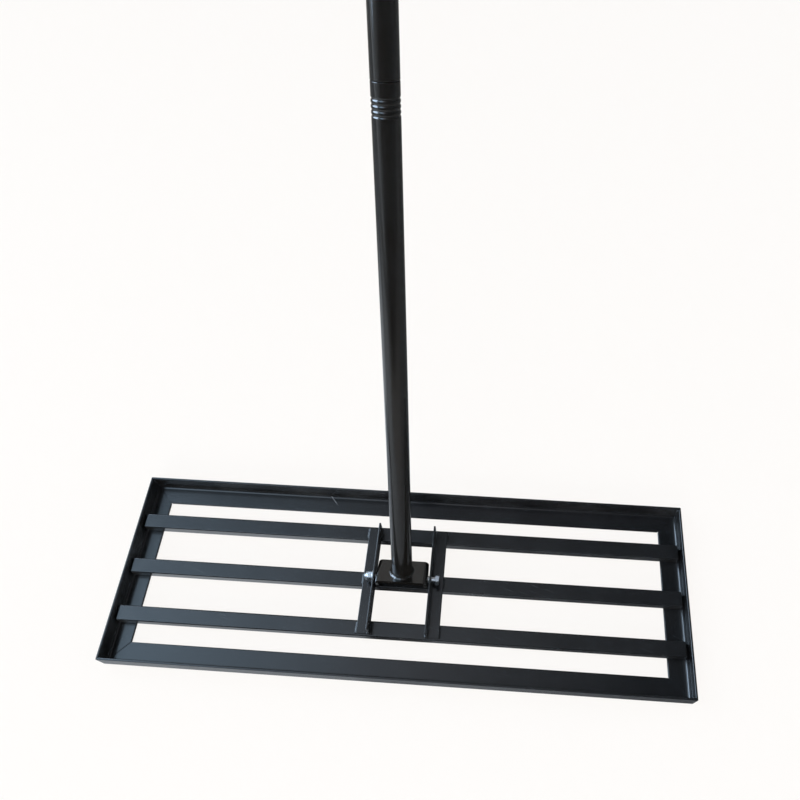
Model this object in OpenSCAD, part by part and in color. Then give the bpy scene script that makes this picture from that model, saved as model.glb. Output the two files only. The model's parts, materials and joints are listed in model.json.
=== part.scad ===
// Lawn leveling rake: a drag frame of mitred angle steel with three cross slats,
// and a long sectional handle that tilts on a bolted yoke.
// Millimetres, +Z up. The origin is the middle of the frame's underside, on the ground.
// X runs along the frame, and at rest the handle leans back towards +Y.

/* [Ground frame] */
// Overall length of the frame, left to right
frame_l = 762; // [500:1:1000]
// Overall depth of the frame, front to back
frame_w = 254; // [230:1:400]
// Height of a rail's upright leg
rail_h = 27; // [22:0.5:40]
// Width of a rail's flat leg
rail_w = 29; // [20:0.5:34]
// Thickness of the rail steel
rail_t = 3; // [2:0.25:5]
// Radius of the rolled fillet between a rail's legs
rail_fillet = 3.5; // [1:0.25:5]
// Rounding of the leg tips
rail_toe = 1.2; // [0.4:0.1:1.8]
// Rounding of the outer heel of a rail
rail_heel = 0.8; // [0.3:0.1:1.5]
// Open joint between two mitred rail ends
mitre_gap = 0.4; // [0:0.1:1]

/* [Slats] */
// Width of a slat tube
slat_w = 20; // [12:0.5:30]
// Height of a slat tube
slat_h = 16; // [8:0.5:20]
// Wall of a slat tube
slat_wall = 1.5; // [1:0.1:3]
// Outer corner radius of a slat tube
slat_corner = 1.8; // [0.6:0.1:3]
// Distance between the middle lines of two slats
slat_pitch = 64.5; // [50:0.5:75]
// Clear space between a slat's end and the rail's root fillet
slat_end_clear = 1; // [0.5:0.25:4]

/* [Hinge angles] */
// Width of a hinge angle's flat leg
hinge_w = 18; // [12:0.5:30]
// Height of a hinge angle's upright leg above the pivot
hinge_over = 10; // [7:0.5:20]
// Thickness of the hinge angles
hinge_t = 2.5; // [2:0.25:4]
// Radius of the bend, on the outside of a hinge angle
hinge_heel = 1.5; // [0.8:0.1:2]
// Radius of the bend, on the inside of a hinge angle
hinge_fillet = 1.5; // [0.5:0.1:3]
// Rounding of the leg tips of a hinge angle
hinge_tip = 0.8; // [0.3:0.1:1.2]
// Distance from the outer slats' outer edges in to the ends of the hinge angles
hinge_inset = 3; // [0:0.5:8]

/* [Pivot bolt] */
// Diameter of the bolt
bolt_d = 8; // [6:0.5:10]
// Distance across the flats of the bolt head and the nut
bolt_af = 13; // [10:0.5:17]
// Thickness of the bolt head
bolt_head_t = 5.3; // [4:0.1:7]
// Bare shank between the right hinge angle and the bolt head
bolt_standoff = 5; // [0:0.5:10]
// Bolt thread that stands out of the nut
bolt_tail = 2; // [0:0.5:8]
// Thickness of the nut's hexagon
nut_t = 5.5; // [4:0.1:8]
// Height of the nut's locking collar
nut_collar_t = 2.5; // [1.5:0.1:4]
// Step in from the nut's flats to its locking collar
nut_collar_step = 0.5; // [0.2:0.1:1.5]
// Outer diameter of the washer under the nut
washer_d = 16; // [14:0.5:20]
// Thickness of the washer
washer_t = 1.6; // [1:0.1:3]
// Running clearance round the bolt, on the radius
pivot_clear = 0.08; // [0.02:0.01:0.1]

/* [Yoke] */
// Outer width of the yoke across its ears
yoke_w = 68; // [50:0.5:90]
// Depth of the yoke's top plate
yoke_d = 38; // [34:0.5:40]
// Thickness of the yoke steel
yoke_t = 4; // [3:0.25:5]
// Outer radius of the yoke's bends
yoke_bend = 6; // [5.5:0.25:9]
// Height of the yoke's top face above the pivot
yoke_rise = 13; // [12:0.5:18]
// Radius of the ears round the pivot
ear_r = 11; // [8:0.5:12]
// Gap between an ear and the hinge angle beside it
ear_gap = 2.5; // [0.5:0.25:6]
// Gap between an ear's round end and the slat below it
ear_lift = 5; // [2:0.5:8]

/* [Handle] */
// Lean of the handle from upright, back from the frame
handle_tilt = 26; // [0:1:60]
// Outer diameter of the handle tube
tube_d = 27; // [22:0.5:32]
// Wall of the handle tube
tube_wall = 1.2; // [1:0.1:2]
// Length of one handle section
section_l = 610; // [400:1:900]
// Gap at the seam between two sections
seam_gap = 0.3; // [0:0.05:0.8]
// Chamfer on the ends of a section
tube_chamfer = 0.7; // [0.2:0.1:0.9]
// Leg of the weld between the tube and the yoke
tube_weld = 3; // [1.5:0.25:3.5]

/* [Screw joint] */
// Number of rolled grooves that hold a socket
groove_count = 4; // [2:1:6]
// Distance between rolled grooves
groove_pitch = 4.8; // [4:0.1:7]
// Depth of a rolled groove
groove_depth = 0.7; // [0.3:0.05:1]
// Radius of the rolling wheel's edge
groove_r = 1.5; // [1:0.1:2]
// Distance from the section's end to its first groove
groove_start = 14.5; // [8:0.5:20]
// Length of a socket
socket_l = 52; // [48:1:70]
// Diameter of the screw thread
thread_d = 15; // [12:0.5:16]
// Length of thread that stands out of a section
thread_l = 38; // [20:1:45]
// Length of a stud's plug inside its section
plug_l = 40; // [20:1:60]
// Clearance of inserts in tubes and of thread in socket, on the radius
insert_clear = 0.1; // [0.05:0.01:0.2]

/* [Hand grip] */
// Length of the grip
grip_l = 135; // [100:1:180]
// Wall of the grip
grip_wall = 3; // [2:0.25:5]
// Thickness of the grip's closed end
grip_cap = 4; // [2:0.5:8]
// Rounding of the grip's closed end
grip_round = 3; // [1:0.25:5]
// Number of finger rings round the grip
ring_count = 9; // [3:1:12]
// Distance between finger rings
ring_pitch = 10; // [6:0.5:11]
// Radius of the hollow that cuts a finger ring
ring_r = 2; // [1:0.25:2.5]
// Depth of a finger ring
ring_depth = 0.9; // [0.3:0.1:1.2]
// Distance from the open end to the first ring
ring_start = 28; // [10:1:40]
// Clearance of the grip on the tube, on the radius
grip_clear = 0.1; // [0.05:0.01:0.3]

/* [Welds] */
// Leg of the small fillet welds
bead_r = 2.2; // [1:0.1:2.5]
// Length of a weld across a slat
bead_l = 11; // [4:0.5:14]
// Length of a weld along a slat's foot
foot_bead_l = 14; // [6:0.5:15]
// Distance from the top of the walls down to the upright welds in the corners
corner_drop = 4; // [1:0.5:6]

/* [Hidden] */
$fn = 96;
// Overrun of a cut past the face it cuts through, or of two solids that are joined
slack = 0.01;
// Degrees above the tangent point at which the yoke's taper meets an ear's round end
ear_meet = 3;
// Least radius of a tube's inner corner
least_round = 0.3;
paint = "#22252a";
zinc = "#c9ccd0";
rubber = "#1b1b1c";
plated = "#8d9095";

slat_gap = rail_fillet + slat_end_clear;
slat_l = frame_l - 2 * (rail_t + slat_gap);
slat_top = rail_t + slat_h;
slat_y = [-slat_pitch, 0, slat_pitch];

pivot_rise = ear_r + ear_lift;
pivot_z = slat_top + pivot_rise;
hinge_h = pivot_rise + hinge_over;
hinge_l = 2 * slat_pitch + slat_w - 2 * hinge_inset;
hinge_in = yoke_w / 2 + ear_gap;
hinge_out = hinge_in + hinge_t;
hinge_toe = hinge_in + hinge_w;
bolt_r = bolt_d / 2;
pivot_r = bolt_r + pivot_clear;
nut_x = hinge_out + washer_t;
tail_x = nut_x + nut_t + nut_collar_t + bolt_tail;
head_x = hinge_out + bolt_standoff;
head_r = bolt_af / sqrt(3);

tube_r = tube_d / 2;
bore_r = tube_r - tube_wall;
thread_r = thread_d / 2;
section_step = section_l + seam_gap;
handle_top = yoke_rise + 2 * section_step + section_l;
groove_x = tube_r + groove_r - groove_depth;

// Height of rolled groove i below the end of a section of the standard length
function groove_z(i) = section_l - groove_start - i * groove_pitch;

// Angle at which a line from point p touches the circle of radius r round the origin
function touch_angle(p, r) = atan2(p.y, p.x) - acos(r / norm(p));

// Corner that is cut away to round a convex corner at the origin, lying in the first quadrant
module corner_cut(r) {
    difference() {
        square(r + slack);
        circle(r);
    }
}

// Section of an angle with its heel at the origin: flat leg along x, upright leg along y
module angle_section(w, h, t, fillet, toe, heel) {
    difference() {
        union() {
            square([w, t]);
            square([t, h]);
            square(t + fillet);
        }
        translate([t + fillet, t + fillet]) circle(fillet);
        translate([w - toe, t - toe]) corner_cut(toe);
        translate([t - toe, h - toe]) corner_cut(toe);
        translate([heel, heel]) rotate(180) corner_cut(heel);
    }
}

module rounded_rect(w, h, r) {
    square([w - 2 * r, h], center = true);
    square([w, h - 2 * r], center = true);
    for (x = [-1, 1], y = [-1, 1])
        translate([x * (w / 2 - r), y * (h / 2 - r)]) circle(r);
}

// Turns a section so that its x runs along Y, its y along Z and its length along X
module along_x(len) {
    rotate([90, 0, 90]) linear_extrude(height = len, center = true) children();
}

// Stands a round piece on its side, so that its height runs along X
module axis_x() {
    rotate([0, 90, 0]) children();
}

// Quarter-round weld along Y, in the corner between a wall at x = 0 and a floor at z = 0
module bead(len, r) {
    intersection() {
        union() {
            rotate([90, 0, 0]) cylinder(h = len, r = r, center = true);
            for (s = [-1, 1]) translate([0, s * len / 2, 0]) sphere(r);
        }
        translate([0, -len, 0]) cube([2 * r, 2 * len, 2 * r]);
    }
}

// Moves a piece from the upright handle's own frame, with the pivot at its origin, to its lean
module on_handle() {
    translate([0, 0, pivot_z]) rotate([-handle_tilt, 0, 0]) children();
}

// Rail along X with its outer face at y = 0, cut square to the corner's mitre at both ends
module rail(len) {
    half = len / 2 - mitre_gap / sqrt(2);
    intersection() {
        along_x(len) angle_section(rail_w, rail_h, rail_t, rail_fillet, rail_toe, rail_heel);
        linear_extrude(height = rail_h)
            polygon([[-half, 0], [half, 0], [half - rail_w, rail_w], [rail_w - half, rail_w]]);
    }
}

module front_rail() {
    color(paint) translate([0, -frame_w / 2, 0]) rail(frame_l);
}

module rear_rail() {
    color(paint) rotate([0, 0, 180]) translate([0, -frame_w / 2, 0]) rail(frame_l);
}

module left_rail() {
    color(paint) rotate([0, 0, -90]) translate([0, -frame_l / 2, 0]) rail(frame_w);
}

module right_rail() {
    color(paint) rotate([0, 0, 90]) translate([0, -frame_l / 2, 0]) rail(frame_w);
}

// Upright welds inside the corners, from the root fillets to just below the top of the walls
module corner_welds() {
    foot = rail_t + rail_fillet;
    top = rail_h - corner_drop;
    inner_x = frame_l / 2 - rail_t;
    inner_y = frame_w / 2 - rail_t;
    color(paint) for (corner = [[-1, 1, 0], [-1, -1, 90], [1, -1, 180], [1, 1, 270]])
        translate([corner[0] * inner_x, corner[1] * inner_y, (foot + top) / 2])
            rotate([90, 0, corner[2]]) bead(top - foot - 2 * bead_r, bead_r);
}

// Rectangular tube that lies across the end rails' flat legs
module slat(y) {
    inner_corner = max(slat_corner - slat_wall, least_round);
    translate([0, y, rail_t + slat_h / 2]) along_x(slat_l) difference() {
        rounded_rect(slat_w, slat_h, slat_corner);
        rounded_rect(slat_w - 2 * slat_wall, slat_h - 2 * slat_wall, inner_corner);
    }
}

module front_slat() {
    color(paint) slat(slat_y[0]);
}

module middle_slat() {
    color(paint) slat(slat_y[1]);
}

module rear_slat() {
    color(paint) slat(slat_y[2]);
}

// Welds along the rear foot of each slat, on the end rails' flat legs
module slat_welds() {
    seat = (rail_w - rail_t - slat_gap) / 2;
    middle = slat_l / 2 - seat;
    run = min(foot_bead_l, 2 * seat - 2 * bead_r);
    color(paint) for (s = [-1, 1], y = slat_y)
        translate([s * middle, y + slat_w / 2, rail_t]) rotate([0, 0, 90]) bead(run, bead_r);
}

// Hinge angle on the left: upright leg towards the middle, flat leg outwards on the slats
module hinge_angle() {
    difference() {
        translate([-hinge_in, 0, slat_top]) rotate([90, 0, 0]) mirror([1, 0, 0])
            linear_extrude(height = hinge_l, center = true)
                angle_section(hinge_w, hinge_h, hinge_t, hinge_fillet, hinge_tip, hinge_heel);
        translate([-hinge_out - slack, 0, pivot_z]) axis_x() cylinder(h = hinge_t + 2 * slack, r = pivot_r);
    }
}

module left_hinge_angle() {
    color(paint) hinge_angle();
}

module right_hinge_angle() {
    color(paint) mirror([1, 0, 0]) hinge_angle();
}

// Welds of the left hinge angle: at its toe on every slat, and at its heel on the outer slats
module hinge_welds() {
    for (y = slat_y)
        translate([-hinge_toe, y, slat_top]) mirror([1, 0, 0]) bead(bead_l, bead_r);
    for (y = [slat_y[0], slat_y[2]])
        translate([-hinge_in, y, slat_top]) bead(bead_l, bead_r);
}

module left_hinge_welds() {
    color(paint) hinge_welds();
}

module right_hinge_welds() {
    color(paint) mirror([1, 0, 0]) hinge_welds();
}

// Bolt from the nut on the left to the head on the right
module pivot_bolt() {
    corner = head_r - bolt_af / 2;
    color(zinc) translate([0, 0, pivot_z]) axis_x() {
        translate([0, 0, -tail_x]) cylinder(h = tail_x + head_x, r = bolt_r);
        translate([0, 0, head_x]) intersection() {
            cylinder(h = bolt_head_t, r = head_r, $fn = 6);
            union() {
                cylinder(h = bolt_head_t - corner, r = head_r);
                translate([0, 0, bolt_head_t - corner]) cylinder(h = corner, r1 = head_r, r2 = bolt_af / 2);
            }
        }
    }
}

module nut_washer() {
    color(zinc) translate([-nut_x, 0, pivot_z]) axis_x() difference() {
        cylinder(h = washer_t, r = washer_d / 2);
        translate([0, 0, -slack]) cylinder(h = washer_t + 2 * slack, r = pivot_r);
    }
}

// Hexagon nut with a round locking collar on its outer side
module lock_nut() {
    hexagon_x = nut_x + nut_t;
    collar_r = bolt_af / 2 - nut_collar_step;
    color(zinc) translate([-hexagon_x, 0, pivot_z]) axis_x() difference() {
        union() {
            cylinder(h = nut_t, r = head_r, $fn = 6);
            translate([0, 0, -nut_collar_t]) cylinder(h = nut_collar_t + slack, r = collar_r);
        }
        translate([0, 0, -nut_collar_t - slack])
            cylinder(h = nut_t + nut_collar_t + 2 * slack, r = pivot_r);
    }
}

// Section across the yoke: an arch with bent corners, open at the bottom
module arch(w, top, bend) {
    translate([-w / 2, -ear_r]) square([w, ear_r + top - bend]);
    translate([bend - w / 2, -ear_r]) square([w - 2 * bend, ear_r + top]);
    for (s = [-1, 1]) translate([s * (w / 2 - bend), top - bend]) circle(bend);
}

// Side view of the yoke above the pivot: it tapers from the top plate to the ears' round ends,
// and meets each round just above the tangent point, so that the two outlines cross
module ear_taper() {
    shoulder = [yoke_d / 2, yoke_rise - yoke_t];
    a = touch_angle(shoulder, ear_r) + ear_meet;
    foot = ear_r * [cos(a), sin(a)];
    polygon([
        [-shoulder.x, yoke_rise], [shoulder.x, yoke_rise], shoulder, foot,
        [-foot.x, foot.y], [-shoulder.x, shoulder.y]
    ]);
}

// Bent strap under the handle tube, with one ear inside each hinge angle
module pivot_yoke() {
    color(paint) on_handle() difference() {
        intersection() {
            rotate([90, 0, 0]) linear_extrude(height = yoke_d, center = true) difference() {
                arch(yoke_w, yoke_rise, yoke_bend);
                translate([0, -slack]) arch(yoke_w - 2 * yoke_t, yoke_rise - yoke_t, yoke_bend - yoke_t);
            }
            union() {
                along_x(yoke_w) ear_taper();
                axis_x() cylinder(h = yoke_w, r = ear_r, center = true);
            }
        }
        axis_x() cylinder(h = yoke_w + 2 * slack, r = pivot_r, center = true);
    }
}

// Round weld between the foot of the tube and the yoke's top face
module yoke_weld() {
    color(paint) on_handle() translate([0, 0, yoke_rise]) rotate_extrude() intersection() {
        translate([tube_r, 0]) circle(tube_weld);
        translate([tube_r, 0]) square(tube_weld);
    }
}

// Height of the foot of handle section i, counted from the yoke
function section_z(i) = yoke_rise + i * section_step;

// Half section of a plain handle tube with chamfered ends
module tube_half() {
    difference() {
        translate([bore_r, 0]) square([tube_wall, section_l]);
        for (z = [0, section_l])
            translate([tube_r, z]) rotate(45) square(tube_chamfer * sqrt(2), center = true);
    }
}

// Circles that follow the rolling wheel along the grooves at a section's end
module groove_circles(r) {
    for (i = [0 : groove_count - 1]) translate([groove_x, groove_z(i)]) circle(r);
}

// Handle tube whose upper end is rolled into the grooves of its socket
module rolled_tube() {
    rotate_extrude() intersection() {
        difference() {
            union() {
                tube_half();
                groove_circles(groove_r + tube_wall);
            }
            groove_circles(groove_r);
        }
        square([tube_r, section_l]);
    }
}

// Threaded sleeve inside a section's upper end, grooved where the tube is rolled into it
module socket() {
    rotate_extrude() difference() {
        translate([thread_r + insert_clear, section_l - socket_l])
            square([bore_r - thread_r - 2 * insert_clear, socket_l]);
        groove_circles(groove_r + tube_wall + insert_clear);
    }
}

// Plug in a section's lower end, with the screw that stands out below it
module stud() {
    cylinder(h = plug_l, r = bore_r - insert_clear);
    translate([0, 0, -thread_l]) cylinder(h = thread_l + slack, r = thread_r);
}

module lower_tube() {
    color(paint) on_handle() translate([0, 0, section_z(0)]) rolled_tube();
}

module lower_socket() {
    color(plated) on_handle() translate([0, 0, section_z(0)]) socket();
}

module middle_stud() {
    color(plated) on_handle() translate([0, 0, section_z(1)]) stud();
}

module middle_tube() {
    color(paint) on_handle() translate([0, 0, section_z(1)]) rolled_tube();
}

module middle_socket() {
    color(plated) on_handle() translate([0, 0, section_z(1)]) socket();
}

module upper_stud() {
    color(plated) on_handle() translate([0, 0, section_z(2)]) stud();
}

module upper_tube() {
    color(paint) on_handle() translate([0, 0, section_z(2)]) rotate_extrude() tube_half();
}

// Soft sleeve with a closed round end and hollow finger rings, pushed over the top of the handle
module hand_grip() {
    grip_r = tube_r + grip_clear + grip_wall;
    top = grip_l - grip_round;
    color(rubber) on_handle() translate([0, 0, handle_top + grip_cap - grip_l]) rotate_extrude()
        difference() {
            union() {
                square([grip_r, top]);
                square([grip_r - grip_round, grip_l]);
                translate([grip_r - grip_round, top]) circle(grip_round);
            }
            translate([-slack, -slack])
                square([tube_r + grip_clear + slack, grip_l - grip_cap + slack]);
            for (i = [0 : ring_count - 1])
                translate([grip_r + ring_r - ring_depth, ring_start + i * ring_pitch]) circle(ring_r);
            translate([-grip_r, 0]) square([grip_r, grip_l + slack]);
        }
}

front_rail();
rear_rail();
left_rail();
right_rail();
corner_welds();
front_slat();
middle_slat();
rear_slat();
slat_welds();
left_hinge_angle();
right_hinge_angle();
left_hinge_welds();
right_hinge_welds();
pivot_bolt();
nut_washer();
lock_nut();
pivot_yoke();
yoke_weld();
lower_tube();
lower_socket();
middle_stud();
middle_tube();
middle_socket();
upper_stud();
upper_tube();
hand_grip();
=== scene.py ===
"""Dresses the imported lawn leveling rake: a welded drag frame, a bolted pivot and a sectional handle.

Sizes are in metres, in the part's own frame: X runs along the drag frame, the handle leans back
towards +Y, Z is up, and the ground lies at z = 0.
"""

import json
import logging
import math
from dataclasses import dataclass
from enum import Enum
from typing import Any, Callable, Sequence

import bmesh
import bpy
from bmesh.types import BMEdge, BMesh, BMVert
from mathutils import Matrix, Vector, noise


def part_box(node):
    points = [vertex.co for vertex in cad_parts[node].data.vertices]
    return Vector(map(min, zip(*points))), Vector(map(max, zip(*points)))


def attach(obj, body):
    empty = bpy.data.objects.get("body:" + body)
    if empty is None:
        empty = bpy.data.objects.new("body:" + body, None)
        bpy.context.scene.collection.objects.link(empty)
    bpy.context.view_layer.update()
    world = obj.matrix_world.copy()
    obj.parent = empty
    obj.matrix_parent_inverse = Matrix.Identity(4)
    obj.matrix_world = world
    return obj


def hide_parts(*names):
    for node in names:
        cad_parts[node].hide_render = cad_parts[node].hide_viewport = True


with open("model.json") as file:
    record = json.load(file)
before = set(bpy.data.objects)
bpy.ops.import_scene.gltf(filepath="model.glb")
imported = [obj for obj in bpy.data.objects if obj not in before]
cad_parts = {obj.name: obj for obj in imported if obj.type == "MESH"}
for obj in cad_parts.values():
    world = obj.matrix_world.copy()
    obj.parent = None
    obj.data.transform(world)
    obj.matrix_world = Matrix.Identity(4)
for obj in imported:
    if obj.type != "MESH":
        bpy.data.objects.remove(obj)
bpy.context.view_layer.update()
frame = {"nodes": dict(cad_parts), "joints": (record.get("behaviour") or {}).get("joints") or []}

LOG = logging.getLogger("lawn_rake")
MM = 0.001
WELD_DIST = 1e-6
CUT_DIST = 1e-8
FLAT = math.radians(0.4)
SHARP = math.radians(35)
QUARTER = math.pi / 2
SLATS = ("front_slat", "middle_slat", "rear_slat")
TUBES = ("lower_tube", "middle_tube", "upper_tube")
INSERTS = ("lower_socket", "middle_stud", "middle_socket", "upper_stud")

Colour = tuple[float, float, float]
Point2 = tuple[float, float]
Point3 = tuple[float, float, float]
Ring = Callable[[float], Point2]
Sockets = dict[str | int, Any]


class Body(Enum):
    """The part's two bodies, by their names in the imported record."""

    FRAME = "ground_frame"
    HANDLE = "handle"


class Slot(Enum):
    """The record's material slots."""

    FRAME_PAINT = "frame_paint"
    HANDLE_PAINT = "handle_paint"
    ZINC = "zinc_plate"
    STEEL = "insert_steel"
    RUBBER = "grip_rubber"


class Side(Enum):
    """Left or right of the middle, as the sign of X."""

    LEFT = -1
    RIGHT = 1


class Shown(Enum):
    """What a lamp is for: to light surfaces, or to be mirrored in them."""

    AS_LIGHT = "light"
    AS_GLOSS = "gloss"


@dataclass(frozen=True)
class Scratch:
    """A straight scratch in the paint, from its deep end to where it runs out."""

    start: Point3
    end: Point3
    width: float


class Value:
    """A shader socket that can stand in a sum as a number does."""

    def __init__(self, graph: "Graph", socket: bpy.types.NodeSocket) -> None:
        """Keeps the socket and the graph that it belongs to."""
        self.graph = graph
        self.socket = socket

    def _math(self, operation: str, left: "Operand", right: "Operand") -> "Value":
        """Adds a Math node.

        Args:
            operation: The node's operation.
            left: First operand.
            right: Second operand.

        Returns:
            The node's result.
        """
        return self.graph.add("ShaderNodeMath", {"operation": operation}, {0: left, 1: right})

    def __add__(self, other: "Operand") -> "Value":
        """Sum."""
        return self._math("ADD", self, other)

    def __radd__(self, other: "Operand") -> "Value":
        """Sum, with the value on the right."""
        return self._math("ADD", other, self)

    def __sub__(self, other: "Operand") -> "Value":
        """Difference."""
        return self._math("SUBTRACT", self, other)

    def __rsub__(self, other: "Operand") -> "Value":
        """Difference, with the value on the right."""
        return self._math("SUBTRACT", other, self)

    def __mul__(self, other: "Operand") -> "Value":
        """Product."""
        return self._math("MULTIPLY", self, other)

    def __rmul__(self, other: "Operand") -> "Value":
        """Product, with the value on the right."""
        return self._math("MULTIPLY", other, self)

    def __truediv__(self, other: "Operand") -> "Value":
        """Quotient."""
        return self._math("DIVIDE", self, other)

    def __rtruediv__(self, other: "Operand") -> "Value":
        """Quotient, with the value on the right."""
        return self._math("DIVIDE", other, self)

    def size(self) -> "Value":
        """The value without its sign."""
        return self._math("ABSOLUTE", self, 0.0)

    def at_least(self, other: "Operand") -> "Value":
        """The larger of the two."""
        return self._math("MAXIMUM", self, other)

    def step(self, low: float, high: float, start: float = 0.0, end: float = 1.0) -> "Value":
        """Moves smoothly from one number to another as the value crosses a band.

        Args:
            low: Where the band starts.
            high: Where the band ends; it may be the smaller of the two.
            start: Result before the band.
            end: Result after the band.

        Returns:
            The result.
        """
        return self.graph.add(
            "ShaderNodeMapRange",
            {"interpolation_type": "SMOOTHSTEP"},
            {"Value": self, "From Min": low, "From Max": high, "To Min": start, "To Max": end},
        )

    def part(self, axis: int) -> "Value":
        """One coordinate of a vector, counted from 0 for X."""
        return self.graph.add("ShaderNodeSeparateXYZ", None, {0: self}, axis)

    def stretched(self, scale: Point3, turn: Point3 = (0.0, 0.0, 0.0)) -> "Value":
        """The vector, turned and then scaled along each axis.

        Args:
            scale: Factor for X, Y and Z.
            turn: Rotation about X, Y and Z in radians.

        Returns:
            The changed vector.
        """
        turned = self.graph.add(
            "ShaderNodeMapping", {"vector_type": "POINT"}, {"Vector": self, "Rotation": turn}
        )
        return self.graph.vector("MULTIPLY", {0: turned, 1: scale})


Operand = Value | float


class Graph:
    """The nodes of one material or of the world."""

    def __init__(self, tree: bpy.types.NodeTree) -> None:
        """Takes a node tree and empties it."""
        self.tree = tree
        tree.nodes.clear()

    def add(
        self,
        kind: str,
        settings: dict[str, Any] | None = None,
        sockets: Sockets | None = None,
        out: str | int = 0,
    ) -> Value:
        """Adds one node.

        Args:
            kind: The node's type.
            settings: Attributes that are set first; stops are a ramp's (position, colour) pairs.
            sockets: Values, or results of other nodes, by input name or number.
            out: The output to give back.

        Returns:
            That output. An output node gives back its first input.
        """
        node = self.tree.nodes.new(kind)
        for name, value in (settings or {}).items():
            if name == "stops":
                self._set_stops(node.color_ramp, value)
            else:
                setattr(node, name, value)
        for key, value in (sockets or {}).items():
            if isinstance(value, Value):
                self.tree.links.new(value.socket, node.inputs[key])
            else:
                node.inputs[key].default_value = value
        return Value(self, node.outputs[out] if len(node.outputs) else node.inputs[0])

    @staticmethod
    def _set_stops(ramp: bpy.types.ColorRamp, stops: Sequence[tuple[float, Colour]]) -> None:
        """Gives a ramp its stops.

        Args:
            ramp: The ramp of a new node, which has two stops.
            stops: Positions from 0 to 1 in rising order, each with its colour.
        """
        while len(ramp.elements) < len(stops):
            ramp.elements.new(1.0)
        for element, (position, colour) in zip(ramp.elements, stops):
            element.position = position
            element.color = (*colour, 1.0)

    def vector(self, operation: str, sockets: Sockets, out: str | int = 0) -> Value:
        """Adds a Vector Math node.

        Args:
            operation: The node's operation.
            sockets: Its inputs, as for any other node.
            out: The output to give back, "Value" for a length or a product.

        Returns:
            That output.
        """
        return self.add("ShaderNodeVectorMath", {"operation": operation}, sockets, out)

    def coordinates(self, kind: str) -> Value:
        """One output of a Texture Coordinate node, by its name."""
        return self.add("ShaderNodeTexCoord", None, None, kind)

    def place(self) -> Value:
        """Object coordinates, in metres."""
        return self.coordinates("Object")

    def up(self) -> Value:
        """How far the surface faces up: 1 for level, 0 for upright and below."""
        return self.coordinates("Normal").part(2).at_least(0.0)

    def cloud(self, at: Value, scale: float, detail: float = 2.0, rough: float = 0.5) -> Value:
        """Soft noise from 0 to 1.

        Args:
            at: Coordinates in metres.
            scale: Features per metre.
            detail: Number of finer layers.
            rough: Strength of each finer layer.

        Returns:
            The noise value.
        """
        return self.add(
            "ShaderNodeTexNoise",
            {"noise_dimensions": "3D"},
            {"Vector": at, "Scale": scale, "Detail": detail, "Roughness": rough},
        )

    def specks(self, at: Value, scale: float, radius: float, share: float) -> Value:
        """Scattered round specks, 1 inside and 0 outside.

        Args:
            at: Coordinates in metres.
            scale: Cells per metre.
            radius: Radius of a speck, in cells.
            share: Part of the cells that hold a speck.

        Returns:
            The mask.
        """
        sockets: Sockets = {"Vector": at, "Scale": scale}
        near = self.add("ShaderNodeTexVoronoi", {"feature": "F1"}, sockets, "Distance")
        cell = self.add("ShaderNodeTexVoronoi", {"feature": "F1"}, sockets, "Color").part(0)
        return near.step(radius, 0.5 * radius) * cell.step(1.0 - share, 1.02 - share)

    def stroke(self, at: Value, scratch: Scratch) -> Value:
        """A straight scratch that fades towards its end.

        Args:
            at: Coordinates in metres.
            scratch: Where it lies and how wide it is.

        Returns:
            The mask.
        """
        start, width = Vector(scratch.start), scratch.width
        run = Vector(scratch.end) - start
        offset = self.vector("SUBTRACT", {0: at, 1: start})
        share = self.vector("DOT_PRODUCT", {0: offset, 1: run / run.length_squared}, "Value")
        held = self.add("ShaderNodeClamp", None, {"Value": share})
        foot = self.vector("SCALE", {0: run, "Scale": held})
        away = self.vector("DISTANCE", {0: offset, 1: foot}, "Value")
        return away.step(0.6 * width, 0.3 * width) * held.step(1.0, 0.4)

    def tint(self, share: Operand, start: Value | Colour, end: Value | Colour) -> Value:
        """Mixes two colours.

        Args:
            share: Part of the second colour.
            start: First colour.
            end: Second colour.

        Returns:
            The mixed colour.
        """
        first, second = (c if isinstance(c, Value) else (*c, 1.0) for c in (start, end))
        settings = {"data_type": "RGBA", "clamp_factor": True}
        return self.add("ShaderNodeMix", settings, {0: share, 6: first, 7: second}, 2)

    def relief(self, height: Value, depth: float, under: Value | None = None) -> Value:
        """Turns a height from 0 to 1 into a bumped normal.

        Args:
            height: The height.
            depth: What a height of 1 stands for, in metres.
            under: A normal to add the bumps to.

        Returns:
            The normal.
        """
        sockets: Sockets = {"Height": height, "Distance": depth, "Strength": 1.0}
        if under is not None:
            sockets["Normal"] = under
        return self.add("ShaderNodeBump", None, sockets)

    def surface(self, **sockets: Any) -> None:
        """Ends the material with a Principled shader; underscores in socket names stand for spaces."""
        named: Sockets = {name.replace("_", " "): value for name, value in sockets.items()}
        shader = self.add("ShaderNodeBsdfPrincipled", None, named, "BSDF")
        self.add("ShaderNodeOutputMaterial", None, {"Surface": shader})


def shaded(colour: Colour, factor: float) -> Colour:
    """The colour made darker, or lighter by a factor over 1."""
    return (factor * colour[0], factor * colour[1], factor * colour[2])


@dataclass(frozen=True)
class Finish:
    """What every finish has: a name, the record's slot, and a material that is made once."""

    name: str
    slot: Slot

    def material(self) -> bpy.types.Material:
        """The finish's material, made on first use."""
        made = bpy.data.materials.get(self.name)
        if made is None:
            made = bpy.data.materials.new(self.name)
            made.use_nodes = True
            self.paint(Graph(made.node_tree))
        return made

    def paint(self, graph: Graph) -> None:
        """Adds the finish's nodes to an empty graph."""
        raise NotImplementedError


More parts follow.
